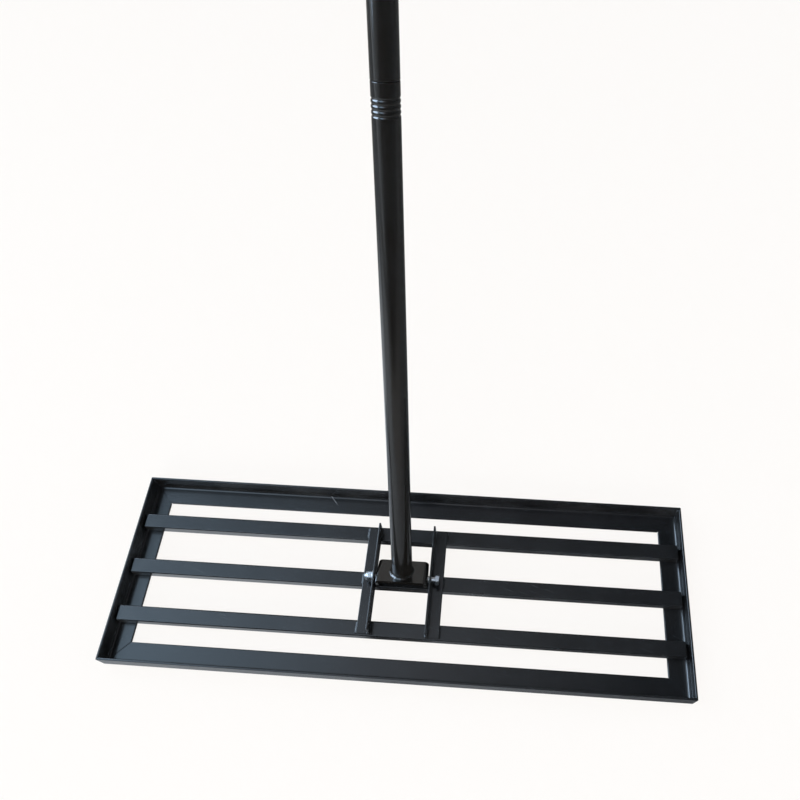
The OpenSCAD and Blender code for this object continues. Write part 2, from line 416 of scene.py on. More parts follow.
@dataclass(frozen=True)
class GlossPaint(Finish):
    """Black stoved paint: orange peel over slightly wavy steel, with thin dust, specks and hairlines; the
    dust film is stronger on upright faces, where it is partly painted light.
    """

    colour: Colour = (0.0090, 0.0092, 0.0098)
    # Pale colour of the dust, specks, scuffs and scratches, and of the painted light on upright faces.
    dust: Colour = (0.20, 0.205, 0.21)
    roughness: float = 0.17
    ior: float = 1.55
    wave: float = 0.045 * MM
    peel: float = 0.006 * MM
    dust_and_wall_light_share: float = 0.11
    level_share: float = 0.18
    speck_share: float = 0.35
    scuff_share: float = 0.10
    scratch_share: float = 0.7
    dust_and_wall_light_rough: float = 0.10
    scuff_rough: float = 0.15
    rough_spread: float = 0.06
    scratches: tuple[Scratch, ...] = ()

    def metal(self, graph: Graph, at: Value) -> Value:
        """The normal of the steel under the paint, which is slightly wavy."""
        return graph.relief(graph.cloud(at, 42.0, 1.0), self.wave)

    def paint(self, graph: Graph) -> None:
        """Adds the paint's nodes."""
        at, level = graph.place(), graph.up()
        patches = graph.cloud(at, 16.0, 5.0, 0.6).step(0.36, 0.70)
        # A pale film in cloudy patches: dust, and on upright faces, where it is about five times stronger,
        # also painted light.
        dust_and_wall_light = level.step(0.0, 1.0, 1.0, self.level_share) * patches
        speck = graph.specks(at, 130.0, 0.055, 0.35) * level
        hairs = graph.cloud(at.stretched((26.0, 1500.0, 1500.0), (0.0, 0.0, 0.35)), 1.0, 1.0)
        worn = graph.cloud(at, 9.0, 1.0).step(0.52, 0.66)
        scuff = hairs.step(0.72, 0.78) * worn * level
        pale = dust_and_wall_light * self.dust_and_wall_light_share + speck * self.speck_share + scuff * self.scuff_share
        for scratch in self.scratches:
            pale = pale + graph.stroke(at, scratch) * self.scratch_share
        bare = graph.tint(graph.cloud(at, 5.0, 2.0), shaded(self.colour, 0.85), self.colour)
        marks = dust_and_wall_light * self.dust_and_wall_light_rough + scuff * self.scuff_rough
        spread = (graph.cloud(at, 90.0, 3.0) - 0.5) * self.rough_spread
        graph.surface(
            Base_Color=graph.tint(pale, bare, self.dust),
            Roughness=self.roughness + marks + spread,
            IOR=self.ior,
            Normal=graph.relief(graph.cloud(at, 900.0, 1.0), self.peel, self.metal(graph, at)),
        )


@dataclass(frozen=True)
class TubePaint(GlossPaint):
    """The same paint on drawn tube: faint lines along the leaning handle show through it."""

    lean: float = 0.0
    line: float = 0.012 * MM

    def metal(self, graph: Graph, at: Value) -> Value:
        """The normal of the drawn tube under the paint."""
        lines = graph.cloud(at.stretched((430.0, 430.0, 3.0), (self.lean, 0.0, 0.0)), 1.0, 2.0)
        return graph.relief(lines, self.line, super().metal(graph, at))


@dataclass(frozen=True)
class SeamShade(Finish):
    """Matt black of the sunk mitre seams: painted shade in the narrow seams."""

    # Near-black that paints the seam's shade.
    colour: Colour = (0.006, 0.006, 0.006)
    roughness: float = 0.8
    gloss: float = 0.15
    grain: float = 0.05 * MM

    def paint(self, graph: Graph) -> None:
        """Adds the seam's nodes."""
        grit = graph.cloud(graph.place(), 1200.0, 3.0)
        graph.surface(
            Base_Color=graph.tint(grit.step(0.55, 0.8) * 0.4, self.colour, shaded(self.colour, 3.0)),
            Roughness=self.roughness + (grit - 0.5) * 0.2,
            Specular_IOR_Level=self.gloss,
            Normal=graph.relief(grit, self.grain),
        )


@dataclass(frozen=True)
class ZincPlate(Finish):
    """Bright zinc plate with a faint blue and straw stain and fine wiping marks."""

    colour: Colour = (0.66, 0.69, 0.73)
    stain: Colour = (0.60, 0.58, 0.50)
    roughness: float = 0.26
    grain: float = 0.01 * MM

    def paint(self, graph: Graph) -> None:
        """Adds the plate's nodes."""
        at = graph.place()
        stain = graph.cloud(at, 160.0, 4.0).step(0.50, 0.78)
        grain = graph.cloud(at, 2200.0, 3.0)
        graph.surface(
            Base_Color=graph.tint(stain * 0.7, self.colour, self.stain),
            Metallic=1.0,
            Roughness=self.roughness + stain * 0.14 + (grain - 0.5) * 0.12,
            Normal=graph.relief(grain, self.grain),
        )


@dataclass(frozen=True)
class TurnedSteel(Finish):
    """Plain turned steel of the screwed inserts, with tool rings round the leaning handle's axis."""

    lean: float = 0.0
    colour: Colour = (0.46, 0.46, 0.45)
    roughness: float = 0.34
    ring: float = 0.02 * MM

    def paint(self, graph: Graph) -> None:
        """Adds the steel's nodes."""
        at = graph.place()
        rings = graph.cloud(at.stretched((30.0, 30.0, 3200.0), (self.lean, 0.0, 0.0)), 1.0, 2.0)
        oil = graph.cloud(at, 70.0, 3.0).step(0.45, 0.75)
        graph.surface(
            Base_Color=graph.tint(oil * 0.5, self.colour, shaded(self.colour, 0.7)),
            Metallic=1.0,
            Roughness=self.roughness + (rings - 0.5) * 0.2 - oil * 0.08,
            Normal=graph.relief(rings, self.ring),
        )


@dataclass(frozen=True)
class MouldedRubber(Finish):
    """Matt black rubber with a fine moulded grain and dust in its hollows."""

    colour: Colour = (0.014, 0.014, 0.015)
    dust: Colour = (0.10, 0.10, 0.095)
    roughness: float = 0.62
    grain: float = 0.06 * MM

    def paint(self, graph: Graph) -> None:
        """Adds the rubber's nodes."""
        at = graph.place()
        grain = graph.cloud(at, 1400.0, 2.0)
        handled = graph.cloud(at, 30.0, 4.0)
        graph.surface(
            Base_Color=graph.tint(handled.step(0.5, 0.8) * 0.16, self.colour, self.dust),
            Roughness=self.roughness + (handled - 0.5) * 0.2,
            Normal=graph.relief(grain, self.grain),
        )


def flat_outline(points: Sequence[Point2]) -> BMesh:
    """Starts a bmesh with one flat face in the plane x = 0.

    Args:
        points: The outline's corners as (y, z).

    Returns:
        The new bmesh.
    """
    bm = bmesh.new()
    bm.faces.new([bm.verts.new((0.0, y, z)) for y, z in points])
    return bm


def bevel(bm: BMesh, geom: list[BMVert] | list[BMEdge], radius: float, segments: int, affect: str) -> None:
    """Rounds corners of an outline, or edges of a solid.

    Args:
        bm: The outline or solid.
        geom: The corners or edges.
        radius: Radius of the round.
        segments: Number of steps across it.
        affect: VERTICES for corners, EDGES for edges.
    """
    bmesh.ops.bevel(
        bm, geom=geom, offset=radius, offset_type="OFFSET", segments=segments,
        profile=0.5, affect=affect, material=-1, clamp_overlap=True,
    )


def round_corner(bm: BMesh, corner: Point2, radius: float, segments: int) -> None:
    """Rounds one corner of a flat outline.

    Args:
        bm: The outline.
        corner: The corner's (y, z).
        radius: Radius of the round.
        segments: Number of edges round it.
    """
    at = Vector((0.0, *corner))
    nearest = min(bm.verts, key=lambda vert: (vert.co - at).length)
    bevel(bm, [nearest], radius, segments, "VERTICES")


def ease(bm: BMesh, width: float, segments: int = 2) -> None:
    """Rounds every sharp edge.

    Args:
        bm: The solid.
        width: Radius of the round.
        segments: Number of faces across it.
    """
    edges = [edge for edge in bm.edges if edge.calc_face_angle(0.0) > SHARP]
    bevel(bm, edges, width, segments, "EDGES")


def sweep(bm: BMesh, travel: Vector) -> None:
    """Draws a flat face out along a straight line, into a closed solid.

    Args:
        bm: The face.
        travel: From the first end to the last.
    """
    made = bmesh.ops.extrude_face_region(bm, geom=bm.faces[:])
    moved = [item for item in made["geom"] if isinstance(item, BMVert)]
    bmesh.ops.translate(bm, vec=travel, verts=moved)
    bmesh.ops.recalc_face_normals(bm, faces=bm.faces[:])


def saw(bm: BMesh, point: Vector, normal: Vector) -> None:
    """Cuts a closed solid with a plane and closes the cut.

    Args:
        bm: The solid.
        point: A point in the plane.
        normal: Points to the side that falls away.
    """
    everything = bm.verts[:] + bm.edges[:] + bm.faces[:]
    cut = bmesh.ops.bisect_plane(
        bm, geom=everything, dist=CUT_DIST, plane_co=point, plane_no=normal, clear_outer=True
    )
    rim = [item for item in cut["geom_cut"] if isinstance(item, BMEdge)]
    bmesh.ops.edgeloop_fill(bm, edges=rim)


def merge(bm: BMesh) -> None:
    """Merges doubles and turns all faces outwards."""
    bmesh.ops.remove_doubles(bm, verts=bm.verts[:], dist=WELD_DIST)
    bmesh.ops.recalc_face_normals(bm, faces=bm.faces[:])


def grow(bm: BMesh, loop: list[BMEdge]) -> list[BMEdge]:
    """Extrudes a loop of edges where it lies.

    Args:
        bm: The bmesh that grows.
        loop: The loop's edges.

    Returns:
        The new loop's edges.
    """
    grown = bmesh.ops.extrude_edge_only(bm, edges=loop)["geom"]
    return [item for item in grown if isinstance(item, BMEdge)]


def ends_of(loop: list[BMEdge]) -> list[BMVert]:
    """Each vertex of a loop of edges, once."""
    return list({vert for edge in loop for vert in edge.verts})


def spun(profile: Sequence[Point2], closed: bool, steps: int = 96) -> BMesh:
    """Turns a half section round the Z axis.

    Args:
        profile: Points as (radius, z).
        closed: True for a ring, false for a line that is left open.
        steps: Number of faces round the axis.

    Returns:
        The new bmesh.
    """
    bm = bmesh.new()
    verts = [bm.verts.new((radius, 0.0, z)) for radius, z in profile]
    ends = verts[1:] + verts[:1] if closed else verts[1:]
    edges = [bm.edges.new(pair) for pair in zip(verts, ends)]
    bmesh.ops.spin(
        bm, geom=verts + edges, cent=(0, 0, 0), axis=(0, 0, 1),
        angle=math.tau, steps=steps, use_merge=True,
    )
    merge(bm)
    return bm


def lofted(rings: Sequence[Ring], closed: bool, segments: int = 72) -> BMesh:
    """Joins rings round the Z axis, each of which may vary in radius and height.

    Args:
        rings: Functions from an angle to (radius, z), in order.
        closed: True to join the last ring to the first, false to cap both.
        segments: Number of vertices in a ring.

    Returns:
        The new bmesh.
    """
    bm = bmesh.new()
    bmesh.ops.create_circle(bm, cap_ends=False, segments=segments, radius=1.0)
    first = loop = bm.edges[:]
    for number, ring in enumerate(rings):
        if number:
            loop = grow(bm, loop)
        for vert in ends_of(loop):
            angle = math.atan2(vert.co.y, vert.co.x)
            radius, z = ring(angle)
            vert.co = (radius * math.cos(angle), radius * math.sin(angle), z)
    if closed:
        bmesh.ops.bridge_loops(bm, edges=first + loop)
    else:
        for rim in (first, loop):
            bmesh.ops.edgeloop_fill(bm, edges=rim)
    merge(bm)
    return bm


def arc(centre: Point2, radius: float, start: float, end: float, steps: int) -> list[Point2]:
    """Points on an arc.

    Args:
        centre: The arc's centre.
        radius: Its radius.
        start: First angle in degrees, from the first axis to the second.
        end: Last angle in degrees.
        steps: Number of edges.

    Returns:
        The points, both ends included.
    """
    angles = [math.radians(start + (end - start) * i / steps) for i in range(steps + 1)]
    return [(centre[0] + radius * math.cos(a), centre[1] + radius * math.sin(a)) for a in angles]


def hollow(radius: float, z: float, width: float, depth: float, steps: int = 10) -> list[Point2]:
    """Half section of a rolled groove with soft shoulders.

    Args:
        radius: Radius of the surface that it lies in.
        z: Height of its middle.
        width: Its width.
        depth: Its depth.
        steps: Number of edges across it.

    Returns:
        Points as (radius, z), from the low side to the high side.
    """
    turns = [i / steps for i in range(steps + 1)]
    return [
        (radius - depth * 0.5 * (1 - math.cos(math.tau * t)), z + width * (t - 0.5)) for t in turns
    ]


def join(target: BMesh, source: BMesh) -> None:
    """Moves all of one bmesh into another.

    Args:
        target: The bmesh that grows.
        source: The bmesh that is used up.
    """
    scrap = bpy.data.meshes.new("scrap")
    source.to_mesh(scrap)
    source.free()
    target.from_mesh(scrap)
    bpy.data.meshes.remove(scrap)


def put(bm: BMesh, place: Matrix) -> BMesh:
    """Moves a bmesh to its place and gives it back."""
    bmesh.ops.transform(bm, matrix=place, space=Matrix.Identity(4), verts=bm.verts[:])
    return bm


def eased_copy(node: str, width: float) -> BMesh:
    """Copies a CAD node's flat-faced shape and rounds its sharp edges.

    Args:
        node: The CAD node.
        width: Radius of the rounds.

    Returns:
        The new bmesh.
    """
    bm = bmesh.new()
    bm.from_mesh(frame["nodes"][node].data)
    bmesh.ops.remove_doubles(bm, verts=bm.verts[:], dist=WELD_DIST)
    bmesh.ops.dissolve_limit(
        bm, angle_limit=FLAT, use_dissolve_boundaries=False, verts=bm.verts[:], edges=bm.edges[:]
    )
    ease(bm, width)
    return bm


def finish_piece(bm: BMesh, name: str, body: Body, node: str, *finishes: Finish) -> None:
    """Turns a bmesh into a finished piece that stands for a CAD node.

    Args:
        bm: The shape, in the part's frame; it is used up.
        name: The piece's name.
        body: The body that it rides on.
        node: The CAD node that it stands for.
        finishes: Its main finish, and any others that its faces ask for by number.
    """
    mesh = bpy.data.meshes.new(name)
    bm.to_mesh(mesh)
    bm.free()
    if "custom_normal" in mesh.attributes:
        mesh.attributes.remove(mesh.attributes["custom_normal"])
    mesh.shade_smooth()
    mesh.set_sharp_from_angle(angle=SHARP)
    mesh.materials.clear()
    for finish in finishes:
        mesh.materials.append(finish.material())
    piece = bpy.data.objects.new(name, mesh)
    bpy.context.scene.collection.objects.link(piece)
    flats = piece.modifiers.new("true_flats", "WEIGHTED_NORMAL")
    flats.mode, flats.weight, flats.keep_sharp = "FACE_AREA", 100, True
    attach(piece, body.value)
    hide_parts(node)
    LOG.info("%s: %d faces, stands for %s", name, len(mesh.polygons), node)


@dataclass(frozen=True)
class FilletWeld:
    """A hand-laid weld along Y, in the corner between a wall at x = 0 and a floor at z = 0."""

    leg: float
    run: float
    pitch: float = 1.9 * MM
    depth: float = 0.13
    wander: float = 0.16
    wander_l: float = 3 * MM
    slack: float = 0.08
    blunt: float = 0.09
    fan: int = 7
    rings_per_ripple: int = 6

    def reach(self, y: float, seed: float) -> float:
        """How far the weld stands out of its corner.

        Args:
            y: Place along the weld.
            seed: Sets one weld apart from the next.

        Returns:
            The radius there.
        """
        over = max(0.0, (abs(y) - 0.5 * self.run) / self.leg)
        end = math.sqrt(max(self.blunt, 1.0 - over * over))
        ripple = 1.0 - self.depth * (1.0 - abs(math.sin(math.pi * y / self.pitch)))
        drift = 1.0 - self.wander * (0.5 + noise.noise(Vector((y / self.wander_l, seed, 0.0))))
        return self.leg * end * ripple * min(1.0, drift + self.slack)

    def lay(self, bm: BMesh, place: Matrix, seed: float) -> None:
        """Adds the weld to a bmesh.

        Args:
            bm: The bmesh that grows.
            place: From the weld's own frame to the part's.
            seed: Sets one weld apart from the next.
        """
        bead = bmesh.new()
        half = 0.5 * self.run + self.leg
        radius = self.reach(-half, seed)
        root = bead.verts.new((0.0, -half, 0.0))
        tip = bead.verts.new((radius, -half, 0.0))
        bmesh.ops.spin(bead, geom=[tip], cent=root.co, axis=(0, 1, 0), angle=-QUARTER, steps=self.fan)
        fan = sorted((v for v in bead.verts if v is not root), key=lambda v: math.atan2(v.co.z, v.co.x))
        for side in (fan[0], fan[-1]):
            bead.edges.new((root, side))
        first = loop = bead.edges[:]
        count = math.ceil(2 * half / self.pitch * self.rings_per_ripple)
        for number in range(1, count + 1):
            loop = grow(bead, loop)
            moved = ends_of(loop)
            bmesh.ops.translate(bead, vec=(0.0, 2 * half / count, 0.0), verts=moved)
            ratio = self.reach(half * (2 * number / count - 1), seed) / radius
            bmesh.ops.scale(bead, vec=(ratio, 1.0, ratio), verts=moved)
            radius *= ratio
        for rim in (first, loop):
            bmesh.ops.edgeloop_fill(bead, edges=rim)
        bmesh.ops.recalc_face_normals(bead, faces=bead.faces[:])
        put(bead, place)
        if place.determinant() < 0:
            bmesh.ops.reverse_faces(bead, faces=bead.faces[:])
        join(bm, bead)


@dataclass
class GroundFrame:
    """The drag frame: four mitred rails of rolled angle, three tube slats, and their welds."""

    paint: Finish
    seam: Finish
    rail_h: float = 27 * MM
    rail_w: float = 29 * MM
    rail_t: float = 3 * MM
    rail_fillet: float = 4.4 * MM
    rail_toe: float = 1.2 * MM
    rail_heel: float = 0.8 * MM
    edge_round: float = 0.4 * MM
    mitre_gap: float = 0.8 * MM
    mitre_ease: float = 0.4 * MM
    mitre_sunk: float = 0.45 * MM
    mitre_depth: float = 0.9 * MM
    slat_wall: float = 1.5 * MM
    slat_corner: float = 1.8 * MM
    bead_leg: float = 2.2 * MM
    foot_bead_run: float = 14 * MM
    foot_bead_seed: int = 10
    corner_drop: float = 4 * MM

    def __post_init__(self) -> None:
        """Takes the frame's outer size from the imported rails."""
        self.half_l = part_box("right_rail")[1].x
        self.half_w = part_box("rear_rail")[1].y

    def build_rail(self, length: float) -> BMesh:
        """Makes a mitred rail along X with its outer face at y = 0.

        Args:
            length: From outer corner to outer corner.

        Returns:
            The rail.
        """
        w, h, t = self.rail_w, self.rail_h, self.rail_t
        bm = flat_outline([(0, 0), (w, 0), (w, t), (t, t), (t, h), (0, h)])
        rounds = [
            ((0, 0), self.rail_heel, 4), ((w, 0), self.edge_round, 2), ((w, t), self.rail_toe, 4),
            ((t, t), self.rail_fillet, 8), ((t, h), self.rail_toe, 4), ((0, h), self.edge_round, 2),
        ]
        for corner, radius, segments in rounds:
            round_corner(bm, corner, radius, segments)
        put(bm, Matrix.Translation((-length / 2, 0, 0)))
        sweep(bm, Vector((length, 0, 0)))
        half = length / 2 - self.mitre_gap / math.sqrt(2)
        for side in Side:
            saw(bm, Vector((side.value * half, 0, 0)), Vector((side.value, 1, 0)))
        ease(bm, self.mitre_ease)
        return bm

    def dress_rails(self) -> None:
        """Puts the four rails in place, each turned so that its flat leg points inwards."""
        sides = {
            "front_rail": (self.half_l, self.half_w, 0),
            "right_rail": (self.half_w, self.half_l, 90),
            "rear_rail": (self.half_l, self.half_w, 180),
            "left_rail": (self.half_w, self.half_l, 270),
        }
        for node, (half, out, turn) in sides.items():
            place = Matrix.Rotation(math.radians(turn), 4, "Z") @ Matrix.Translation((0, -out, 0))
            bm = put(self.build_rail(2 * half), place)
            finish_piece(bm, f"{node}_dressed", Body.FRAME, node, self.paint)

    def build_slat(self, low: Vector, high: Vector) -> BMesh:
        """Makes a slat from rectangular tube with rounded edges and open ends.

        Args:
            low: Lowest corner of its box.
            high: Highest corner of its box.

        Returns:
            The slat.
        """
        corners = [(low.y, low.z), (high.y, low.z), (high.y, high.z), (low.y, high.z)]
        bm = flat_outline(corners)
        for corner in corners:
            round_corner(bm, corner, self.slat_corner, 6)
        inner = bm.faces[:]
        bmesh.ops.inset_region(
            bm, faces=inner, thickness=self.slat_wall, use_even_offset=True, use_boundary=True
        )
        bmesh.ops.delete(bm, geom=inner, context="FACES_ONLY")
        put(bm, Matrix.Translation((low.x, 0, 0)))
        sweep(bm, Vector((high.x - low.x, 0, 0)))
        merge(bm)
        return bm

    def dress_slats(self) -> None:
        """Puts the three slats in place."""
        for node in SLATS:
            bm = self.build_slat(*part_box(node))
            finish_piece(bm, f"{node}_dressed", Body.FRAME, node, self.paint)

    def build_mitre_fill(self, x: int, y: int) -> BMesh:
        """Makes the sunk weld that closes the mitre in one corner.

        Args:
            x: The corner's side, -1 for left and 1 for right.
            y: The corner's side, -1 for front and 1 for rear.

        Returns:
            The weld.
        """
        sunk, slant = self.mitre_sunk, math.sqrt(2)
        wall, leg = slant * self.rail_t - sunk, slant * self.rail_w - 2 * sunk
        floor, top = self.rail_t - self.mitre_depth, self.rail_h - sunk
        bm = flat_outline(
            [(sunk, sunk), (leg, sunk), (leg, floor), (wall, floor), (wall, top), (sunk, top)]
        )
        put(bm, Matrix.Translation((-self.mitre_gap / 2, 0, 0)))
        sweep(bm, Vector((self.mitre_gap, 0, 0)))
        for face in bm.faces:
            face.material_index = 1
        turn = math.atan2(-y, -x) - QUARTER
        corner = Matrix.Translation((x * self.half_l, y * self.half_w, 0))
        return put(bm, corner @ Matrix.Rotation(turn, 4, "Z"))

    def dress_corners(self) -> None:
        """Closes the four mitres and lays an upright weld inside each corner."""
        foot, top = self.rail_t + self.rail_fillet, self.rail_h - self.corner_drop
        weld = FilletWeld(self.bead_leg, top - foot - 2 * self.bead_leg)
        inner_x, inner_y = self.half_l - self.rail_t, self.half_w - self.rail_t
        bm = bmesh.new()
        for number, (x, y) in enumerate(((-1, 1), (-1, -1), (1, -1), (1, 1))):
            place = (
                Matrix.Translation((x * inner_x, y * inner_y, (foot + top) / 2))
                @ Matrix.Rotation(number * QUARTER, 4, "Z")
                @ Matrix.Rotation(QUARTER, 4, "X")
            )
            weld.lay(bm, place, number)
            join(bm, self.build_mitre_fill(x, y))
        finish_piece(bm, "corner_welds_laid", Body.FRAME, "corner_welds", self.paint, self.seam)

    def dress_feet(self) -> None:
        """Lays the welds that hold the slats' ends on the rails."""
        weld = FilletWeld(self.bead_leg, self.foot_bead_run)
        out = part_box("slat_welds")[1].x - 0.5 * self.foot_bead_run - self.bead_leg
        bm = bmesh.new()
        for number, node in enumerate(SLATS):
            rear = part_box(node)[1].y
            for side in Side:
                foot = Matrix.Translation((side.value * out, rear, self.rail_t))
                seed = self.foot_bead_seed + 2 * number + side.value
                weld.lay(bm, foot @ Matrix.Rotation(QUARTER, 4, "Z"), seed)
        finish_piece(bm, "slat_welds_laid", Body.FRAME, "slat_welds", self.paint)

    def dress(self) -> None:
        """Dresses the whole frame."""
        self.dress_rails()
        self.dress_slats()
        self.dress_corners()
        self.dress_feet()


@dataclass
class HingePair:
    """The two bent angles that carry the pivot, welded across the slats."""

    paint: Finish
    edge_round: float = 0.3 * MM
    bead_leg: float = 2.2 * MM
    bead_run: float = 11 * MM
    toe_seed: int = 20
    heel_seed: int = 30

    def dress_angle(self, side: Side) -> None:
        """Makes one angle with softened edges."""
        node = f"{side.name.lower()}_hinge_angle"
        bm = eased_copy(node, self.edge_round)
        finish_piece(bm, f"{node}_dressed", Body.FRAME, node, self.paint)

    def dress_beads(self, side: Side) -> None:
        """Lays one angle's welds: at its toe on every slat, at its heel on the outer two."""
        name = side.name.lower()
        weld = FilletWeld(self.bead_leg, self.bead_run)
        low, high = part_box(f"{name}_hinge_angle")
        toe, heel = (low.x, high.x) if side is Side.LEFT else (high.x, low.x)
        outward = Matrix.Scale(side.value, 4, (1, 0, 0))
        inward = Matrix.Scale(-side.value, 4, (1, 0, 0))
        bm = bmesh.new()
        for number, slat in enumerate(SLATS):
            slat_low, slat_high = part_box(slat)
            y, z = 0.5 * (slat_low.y + slat_high.y), slat_high.z
            offset = number * side.value
            weld.lay(bm, Matrix.Translation((toe, y, z)) @ outward, self.toe_seed + offset)
            if slat != "middle_slat":
                weld.lay(bm, Matrix.Translation((heel, y, z)) @ inward, self.heel_seed + offset)
        node = f"{name}_hinge_welds"
        finish_piece(bm, f"{node}_laid", Body.FRAME, node, self.paint)

    def dress(self) -> None:
        """Dresses both angles and their welds."""
        for side in Side:
            self.dress_angle(side)
            self.dress_beads(side)


@dataclass
class PivotBolt:
    """The zinc plated hexagon bolt, its washer and its lock nut, along X through the pivot."""

    zinc: Finish
    pivot: Vector
    radius: float = 4 * MM
    across: float = 13 * MM
    flat_share: float = 0.47
    chamfer: float = math.radians(30)
    head_t: float = 5.3 * MM
    thread_l: float = 22 * MM
    thread_pitch: float = 1.25 * MM
    thread_depth: float = 0.65 * MM
    thread_steps: int = 36
    tip_chamfer: float = 0.7 * MM
    washer_round: float = 0.4 * MM
    nut_t: float = 5.5 * MM
    collar_step: float = 0.5 * MM
    collar_roll: float = 0.9 * MM
    mouth: float = 0.5 * MM
    draft: float = 0.1 * MM
    overlap: float = 0.25 * MM
    bore_clear: float = 0.08 * MM

    def __post_init__(self) -> None:
        """Works out the turn from Z to the bolt's axis, the flat ends' radius and the bore."""
        self.along = Matrix.Translation(self.pivot) @ Matrix.Rotation(QUARTER, 4, "Y")
        self.flat_r = self.flat_share * self.across
        self.bore = self.radius + self.bore_clear

    def ends(self, node: str) -> Point2:
        """Where a CAD node starts and ends along the bolt, seen from the pivot."""
        low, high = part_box(node)
        return low.x - self.pivot.x, high.x - self.pivot.x

    def hexagon(self, angle: float) -> float:
        """Distance from the axis to the hexagon's side at an angle."""
        return 0.5 * self.across / math.cos((angle + math.pi / 6) % (math.pi / 3) - math.pi / 6)

    def chamfered(self, angle: float, face: float, sign: float) -> Point2:
        """A point on the edge where a hexagon meets its turned chamfer.

        Args:
            angle: Angle round the axis.
            face: Height of the flat end face.
            sign: 1 for a face at the top, -1 for one at the bottom.

        Returns:
            The point as (radius, z).
        """
        side = self.hexagon(angle)
        return side, face - sign * (side - self.flat_r) * math.tan(self.chamfer)

    def build_thread(self, low: float, high: float) -> BMesh:
        """Makes a threaded rod with a chamfered tip at its low end.

        Args:
            low: Height of its tip.
            high: Height of its other end.

        Returns:
            The rod.
        """
        pitch, crest, root = self.thread_pitch, self.radius, self.radius - self.thread_depth
        turns = math.ceil((high - low) / pitch) + 2
        start = low - 1.5 * pitch
        profile = [(root, 0.0), (root, 0.25), (crest, 0.5625), (crest, 0.6875), (root, 1.0)]
        bm = bmesh.new()
        verts = [bm.verts.new((r, 0.0, start + share * pitch)) for r, share in profile]
        edges = [bm.edges.new(pair) for pair in zip(verts, verts[1:])]
        bmesh.ops.spin(
            bm, geom=verts + edges, cent=(0, 0, 0), axis=(0, 0, 1),
            dvec=(0, 0, pitch / self.thread_steps),
            angle=turns * math.tau, steps=turns * self.thread_steps,
        )
        merge(bm)
        for z, way in ((low, -1), (high, 1)):
            saw(bm, Vector((0, 0, z)), Vector((0, 0, way)))
        for vert in bm.verts:
            limit = crest - max(0.0, self.tip_chamfer - (vert.co.z - low))
            span = vert.co.xy.length
            if span > limit:
                vert.co.xy *= limit / span
        bmesh.ops.dissolve_degenerate(bm, dist=WELD_DIST, edges=bm.edges[:])
        bmesh.ops.recalc_face_normals(bm, faces=bm.faces[:])
        return bm

    def dress_bolt(self) -> None:
        """Makes the bolt: threaded end at the left, plain shank, hexagon head at the right."""
        tip, end = self.ends("pivot_bolt")
        under, run_out = end - self.head_t, tip + self.thread_l
        neck, r = under + self.overlap, self.radius
        bm = self.build_thread(tip, run_out + self.overlap)
        join(bm, spun([(0, run_out), (r, run_out), (r, neck), (0, neck)], False, 48))
        join(bm, lofted([
            lambda a: (self.flat_r, under),
            lambda a: self.chamfered(a, under, -1),
            lambda a: self.chamfered(a, end, 1),
            lambda a: (self.flat_r, end),
            lambda a: (0.4 * self.flat_r, end),
        ], False))
        finish_piece(put(bm, self.along), "pivot_bolt_dressed", Body.FRAME, "pivot_bolt", self.zinc)

    def dress_washer(self) -> None:
        """Makes the washer, with its rim rounded by stamping."""
        low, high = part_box("nut_washer")
        left, right = self.ends("nut_washer")
        rim, soft = 0.5 * (high.y - low.y), self.washer_round
        rounded = arc((rim - soft, left + soft), soft, -90, 0, 4)
        bm = put(spun([(self.bore, left), *rounded, (rim, right), (self.bore, right)], True), self.along)
        finish_piece(bm, "nut_washer_dressed", Body.FRAME, "nut_washer", self.zinc)

    def dress_nut(self) -> None:
        """Makes the lock nut: a chamfered hexagon with a rolled-in collar on its outer side."""
        outer, inner = self.ends("lock_nut")
        shoulder = inner - self.nut_t
        bore, mouth, draft, roll = self.bore, self.mouth, self.draft, self.collar_roll
        collar = 0.5 * self.across - self.collar_step
        rolled = arc((collar - roll, outer + roll), roll, 0, -90, 5)
        rings: list[Ring] = [
            lambda a: (bore, inner),
            lambda a: (self.flat_r, inner),
            lambda a: self.chamfered(a, inner, 1),
            lambda a: self.chamfered(a, shoulder, -1),
            lambda a: (collar + draft, shoulder),
            *[lambda a, p=p: p for p in rolled],
            lambda a: (bore + mouth, outer),
            lambda a: (bore + mouth - draft, outer + mouth),
            lambda a: (bore, outer + mouth + draft),
        ]
        bm = put(lofted(rings, True), self.along)
        finish_piece(bm, "lock_nut_dressed", Body.FRAME, "lock_nut", self.zinc)

    def dress(self) -> None:
        """Dresses the bolt, its washer and its nut."""
        self.dress_bolt()
        self.dress_washer()
        self.dress_nut()


